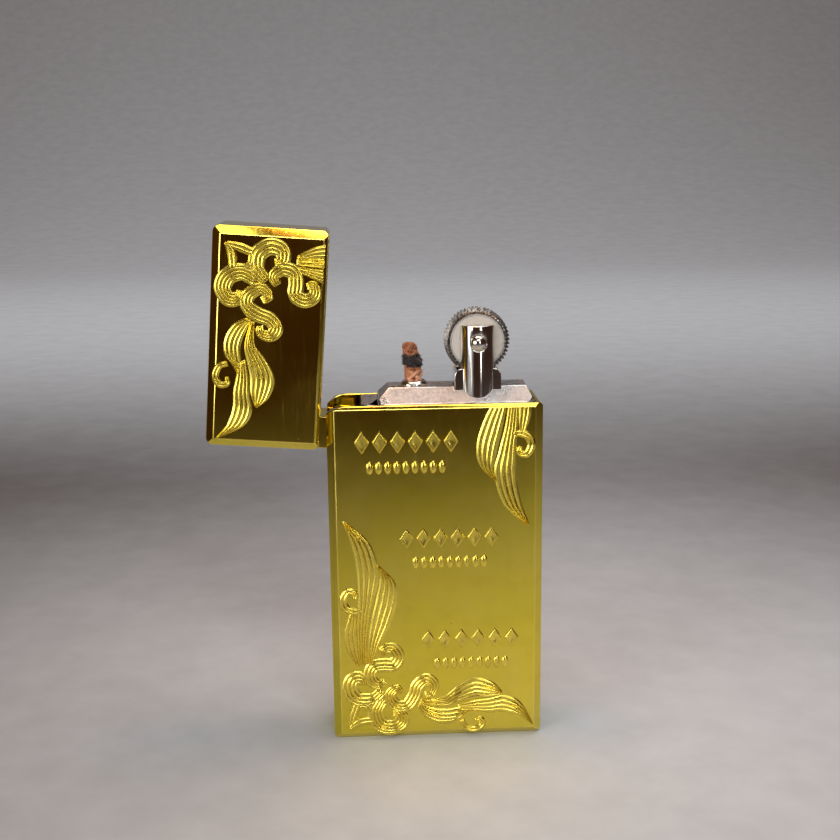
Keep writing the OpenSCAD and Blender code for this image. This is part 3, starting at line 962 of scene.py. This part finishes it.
class LIGHTER_OT_wick(bpy.types.Operator):
    """Adds the braided wick with its charred collar and loose fibres"""

    bl_idname = "lighter.wick"
    bl_label = "Wick"

    def strand(self, hand, foot, top, reach, thick):
        """One strand of the braid, wound by hand 1 or -1 about the Z axis, over and under."""
        bpy.ops.curve.primitive_nurbs_path_add()
        path = bpy.context.object
        path.data.splines.clear()
        line = path.data.splines.new("POLY")
        pitch = 4.4 * MM
        steps = int((top - foot) / (0.09 * MM))
        line.points.add(steps)
        for step in range(steps + 1):
            z = foot + (top - foot) * step / steps
            angle = hand * 2 * math.pi * (z - foot) / pitch
            weave = math.cos(8 * math.pi * (z - foot) / pitch + (0 if hand > 0 else math.pi))
            narrow = 1 - 0.4 * max(0, (z - top + 1.4 * MM) / (1.4 * MM)) ** 2
            out = (reach + weave * 0.1 * MM) * narrow
            line.points[step].co = (out * math.cos(angle), out * math.sin(angle), z, 1)
        path.data.bevel_depth = thick
        path.data.bevel_resolution = 2
        path.data.use_fill_caps = True
        bpy.ops.object.convert(target="MESH")
        return named("strand")

    def fibres(self, rng, count, low, high, reach, length, rise, thick):
        """Loose fibres that leave the wick between two levels, each a thin bent hair."""
        bpy.ops.curve.primitive_nurbs_path_add()
        tuft = bpy.context.object
        tuft.data.splines.clear()
        for _ in range(count):
            angle = rng.uniform(0, 2 * math.pi)
            z = rng.uniform(low, high)
            side = rng.uniform(-0.9, 0.9)
            long = length * rng.uniform(0.5, 1.2)
            climb = rng.uniform(*rise)
            hair = tuft.data.splines.new("POLY")
            hair.points.add(5)
            for step in range(6):
                share = step / 5
                turn = angle + side * share * 0.6
                out = reach * rng.uniform(0.92, 1.0) + long * share * (1 - abs(climb) * 0.4)
                height = z + long * climb * share * (0.6 + 0.6 * share)
                hair.points[step].co = (out * math.cos(turn), out * math.sin(turn), height, 1)
                hair.points[step].radius = 1 - 0.7 * share
        tuft.data.bevel_depth = thick
        tuft.data.bevel_resolution = 0
        tuft.data.use_fill_caps = True
        bpy.ops.object.convert(target="MESH")
        return named("fibres")

    def lump(self, z, reach, thick, lump_size):
        """A lumpy burnt collar round the wick."""
        bpy.ops.mesh.primitive_torus_add(
            major_segments=40,
            minor_segments=14,
            major_radius=reach,
            minor_radius=thick,
            location=(0, 0, z),
        )
        collar = named("collar")
        lumps = bpy.data.textures.new("collar_lumps", "CLOUDS")
        lumps.noise_scale = lump_size
        swell = collar.modifiers.new("lumps", "DISPLACE")
        swell.texture = lumps
        swell.texture_coords = "LOCAL"
        swell.strength = 0.5 * MM
        swell.mid_level = 0.5
        apply_modifiers(collar)
        return collar

    def execute(self, context):
        wick = context.scene.lighter_wick
        rng = random.Random(7)
        centre_x = (FERRULE_LOW.x + FERRULE_HIGH.x) / 2
        foot = FERRULE_LOW.z - 0.4 * MM
        top = WICK_HIGH.z - 0.5 * MM
        bend = FERRULE_HIGH.z + 1.0 * MM
        reach = 0.78 * MM
        core_radius = 0.74 * MM
        core_top = top - 0.6 * MM
        parts = []
        for hand in (1, -1):
            first = self.strand(hand, foot, top, reach, wick.strand)
            parts.append(first)
            for quarter in (1, 2, 3):
                twin = copied(first, "strand")
                twin.data.transform(Matrix.Rotation(quarter * math.pi / 2, 4, "Z"))
                parts.append(twin)
        bpy.ops.mesh.primitive_uv_sphere_add(
            segments=32,
            ring_count=16,
            radius=core_radius,
            location=(0, 0, core_top),
        )
        parts.append(named("tip"))
        bpy.ops.mesh.primitive_cylinder_add(
            vertices=40,
            radius=core_radius,
            depth=core_top - WICK_LOW.z,
            location=(0, 0, (core_top + WICK_LOW.z) / 2),
        )
        parts.append(named("core"))
        bpy.ops.mesh.primitive_cylinder_add(
            vertices=40,
            radius=1.08 * MM,
            depth=foot + 0.2 * MM - WICK_LOW.z,
            location=(0, 0, (foot + 0.2 * MM + WICK_LOW.z) / 2),
        )
        parts.append(named("lower_core"))
        collar_z = FERRULE_HIGH.z + 2.3 * MM
        parts.append(self.lump(collar_z, 0.86 * MM, 0.34 * MM, 0.0006))
        around = (collar_z - 0.35 * MM, collar_z + 0.5 * MM)
        parts.append(self.fibres(rng, 260, *around, 0.98 * MM, 0.42 * MM, (-1.6, 0.9), 0.06 * MM))
        crown = (collar_z + 0.2 * MM, core_top)
        parts.append(self.fibres(rng, 150, *crown, 0.86 * MM, 0.26 * MM, (1.4, 3.2), 0.09 * MM))
        tip = (top - 0.9 * MM, top - 0.3 * MM)
        parts.append(self.fibres(rng, 140, *tip, 0.5 * MM, 0.2 * MM, (0.1, 0.9), 0.09 * MM))
        lower = (bend - 0.6 * MM, collar_z)
        parts.append(self.fibres(rng, 60, *lower, 1.0 * MM, 0.2 * MM, (1.5, 4.5), 0.04 * MM))
        stray = (bend, bend + 0.6 * MM)
        parts.append(self.fibres(rng, 5, *stray, 1.0 * MM, 0.8 * MM, (0.4, 1.2), 0.03 * MM))
        piece = joined(parts, "wick_braided")
        char = piece.data.attributes.new("char", "FLOAT", "POINT")
        for point, value in zip(piece.data.vertices, char.data):
            away = abs(point.co.z - collar_z - 0.1 * MM) / (0.85 * MM)
            beyond = 0.4 if point.co.z > collar_z else -0.5
            value.value = max(beyond, 1 - away**2 * 0.62)
            point.co.x += centre_x - max(0, point.co.z - bend) * math.tan(wick.lean)
        piece.data.materials.append(finish("wick_scorched", scorched_braid, wick.braid))
        smooth(piece, 60)
        place(piece, "insert", "wick_braid", "wick")
        return {"FINISHED"}


class LIGHTER_OT_packing(bpy.types.Operator):
    """Adds the cotton wads and the felt pad inside the insert"""

    bl_idname = "lighter.packing"
    bl_label = "Packing"

    def stuffed(self, node, name, voxel, inset, lumps_size, lumps):
        """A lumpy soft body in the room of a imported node."""
        piece = node_copy(node, name)
        cells = piece.modifiers.new("cells", "REMESH")
        cells.mode = "VOXEL"
        cells.voxel_size = voxel
        apply_modifiers(piece)
        bpy.ops.object.mode_set(mode="EDIT")
        bpy.ops.mesh.select_all(action="SELECT")
        bpy.ops.transform.shrink_fatten(value=-inset)
        bpy.ops.object.mode_set(mode="OBJECT")
        texture = bpy.data.textures.new(name + "_lumps", "CLOUDS")
        texture.noise_scale = lumps_size
        texture.noise_depth = 3
        swell = piece.modifiers.new("lumps", "DISPLACE")
        swell.texture = texture
        swell.texture_coords = "LOCAL"
        swell.strength = lumps
        swell.mid_level = 0.5
        apply_modifiers(piece)
        smooth(piece, 180)
        return piece

    def execute(self, context):
        wick = context.scene.lighter_wick
        cotton = finish("cotton_wool", fibre_mat, wick.cotton, 2400)
        felt = finish("felt_grey", fibre_mat, wick.felt, 4200)
        for node in ("wadding_upper", "wadding_middle", "wadding_lower"):
            wad = self.stuffed(node, node + "_cotton", 0.3 * MM, 0.16 * MM, 0.0014, 0.3 * MM)
            wad.data.materials.append(cotton)
            place(wad, "insert", "cotton", node)
        pad = self.stuffed("felt_pad", "felt_pad_pressed", 0.25 * MM, 0.08 * MM, 0.0006, 0.12 * MM)
        pad.data.materials.append(felt)
        place(pad, "insert", "felt", "felt_pad")
        return {"FINISHED"}


class LIGHTER_OT_works(bpy.types.Operator):
    """Finishes the tank, the hinge, the cam spring and the flint works"""

    bl_idname = "lighter.works"
    bl_label = "Tank, hinge and flint works"

    def execute(self, context):
        metals = context.scene.lighter_metals
        low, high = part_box("flint_screw")
        axis = ((low + high) / 2)[:]
        finishes = {
            "insert_tank": finish("tank_sheet_drawn", drawn_metal, (0.66, 0.65, 0.63), 0.24),
            "hinge_pin": finish("steel_pin_turned", turned_metal, (0.6, 0.58, 0.55), 0.22, PIVOT),
            "cam_spring": finish("spring_leaf", drawn_metal, (0.46, 0.45, 0.46), 0.26),
            "cam_spring_rivets": finish("rivet_dull", drawn_metal, (0.62, 0.6, 0.57), 0.3),
            "flint_tube": finish("brass_tube_drawn", drawn_metal, (0.78, 0.55, 0.22), 0.22),
            "flint": finish("flint_worn", blackened_steel, (0.2, 0.19, 0.18)),
            "flint_plunger": finish("brass_turned", turned_metal, (0.78, 0.56, 0.24), 0.2, axis),
            "flint_screw": finish("screw_turned", turned_metal, metals.nickel, 0.24, axis),
        }
        for node, material in finishes.items():
            mesh = frame["nodes"][node].data
            mesh.materials.clear()
            mesh.materials.append(material)
        spring = node_copy("flint_spring", "flint_spring_coiled")
        spring.data.materials.append(finish("spring_wire", drawn_metal, (0.56, 0.55, 0.54), 0.2))
        smooth(spring, 60)
        place(spring, "insert", "spring_steel", "flint_spring")
        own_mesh(spring)
        return {"FINISHED"}


class LIGHTER_OT_stage(bpy.types.Operator):
    """Adds the floor, the soft lamps and the camera"""

    bl_idname = "lighter.stage"
    bl_label = "Stage"

    def lamp(self, name, place_at, aim, size, share, spread, colour):
        """A soft panel lamp that faces its aim and shines within spread degrees."""
        bpy.ops.object.light_add(type="AREA", location=[part * MM for part in place_at])
        lamp = bpy.context.object
        lamp.name = name
        lamp.data.name = name
        lamp.data.shape = "RECTANGLE"
        lamp.data.size = size[0] * MM
        lamp.data.size_y = size[1] * MM
        lamp.data.energy = bpy.context.scene.lighter_stage.power * share
        lamp.data.color = colour
        lamp.data.spread = math.radians(spread)
        lamp.rotation_euler = (Vector(aim) * MM - lamp.location).to_track_quat("-Z", "Y").to_euler()

    def camera(self):
        """The camera, a little left of the front and above the lighter."""
        bpy.ops.object.camera_add(location=Vector(CAMERA_PLACE) * MM)
        eye = bpy.context.object
        eye.data.lens = CAMERA_LENS
        eye.data.sensor_width = 36
        eye.data.clip_start = 0.01
        look = (Vector(CAMERA_AIM) * MM - eye.location).to_track_quat("-Z", "Y")
        eye.rotation_mode = "QUATERNION"
        eye.rotation_quaternion = look @ Quaternion((0, 0, 1), CAMERA_ROLL)
        bpy.context.scene.camera = eye
        bpy.context.scene.view_settings.view_transform = "Standard"

    def execute(self, context):
        stage = context.scene.lighter_stage
        clear_selection()
        bpy.ops.mesh.primitive_plane_add(size=3)
        floor = named("floor")
        bpy.ops.object.mode_set(mode="EDIT")
        choose_points(floor, lambda co: co.y > 1)
        bpy.ops.mesh.extrude_region_move(TRANSFORM_OT_translate={"value": (0, 0, 1.6)})
        choose_points(floor, lambda co: co.y > 1 and co.z < 0.1)
        bpy.ops.mesh.bevel(offset=0.9, segments=40, affect="EDGES")
        bpy.ops.object.mode_set(mode="OBJECT")
        smooth(floor, 60)
        material, tree, shader = new_finish("floor_pale", 0.0, 0.6)
        grain = noise(tree, spot(tree), 120, 5, 0.6)
        share = remap(tree, grain, 0.35, 0.65, 0, 1)
        pale = tint(tree, share, rgba(stage.floor), rgba(stage.floor, 0.9))
        tree.links.new(pale, shader.inputs["Base Color"])
        tree.links.new(remap(tree, grain, 0.3, 0.7, 0.5, 0.7), shader.inputs["Roughness"])
        floor.data.materials.append(material)
        for lamp in LAMPS:
            self.lamp(*lamp)
        world = bpy.data.worlds.new("dim_room")
        context.scene.world = world
        world.use_nodes = True
        backdrop = world.node_tree.nodes["Background"]
        backdrop.inputs["Color"].default_value = rgba(DARK_ROOM)
        backdrop.inputs["Strength"].default_value = 0.8
        self.camera()
        return {"FINISHED"}


class LIGHTER_PT_build(bpy.types.Panel):
    """Lists the steps that build the lighter, and its settings"""

    bl_idname = "LIGHTER_PT_build"
    bl_label = "Slim Flip-Top Lighter"
    bl_space_type = "VIEW_3D"
    bl_region_type = "UI"
    bl_category = "Lighter"

    def draw(self, context):
        for operator in OPERATORS:
            self.layout.operator(operator.bl_idname)
        for name in SETTINGS:
            group = getattr(context.scene, name)
            box = self.layout.box()
            for key in group.bl_rna.properties.keys():
                if key not in ("name", "rna_type"):
                    box.prop(group, key)


OPERATORS = (
    LIGHTER_OT_case,
    LIGHTER_OT_relief,
    LIGHTER_OT_head,
    LIGHTER_OT_wheel,
    LIGHTER_OT_wick,
    LIGHTER_OT_packing,
    LIGHTER_OT_works,
    LIGHTER_OT_stage,
)


def register():
    """Registers the settings, the operators and the panel."""
    for name, group in SETTINGS.items():
        bpy.utils.register_class(group)
        setattr(bpy.types.Scene, name, bpy.props.PointerProperty(type=group))
    for entry in (*OPERATORS, LIGHTER_PT_build):
        bpy.utils.register_class(entry)


def unregister():
    """Takes away what register added."""
    for entry in reversed((*OPERATORS, LIGHTER_PT_build)):
        bpy.utils.unregister_class(entry)
    for name, group in SETTINGS.items():
        delattr(bpy.types.Scene, name)
        bpy.utils.unregister_class(group)


def main():
    """Builds the lighter step by step."""
    register()
    bpy.ops.lighter.case()
    bpy.ops.lighter.relief()
    bpy.ops.lighter.head()
    bpy.ops.lighter.wheel()
    bpy.ops.lighter.wick()
    bpy.ops.lighter.packing()
    bpy.ops.lighter.works()
    bpy.ops.lighter.stage()
    clear_selection()


if __name__ == "__main__":
    main()
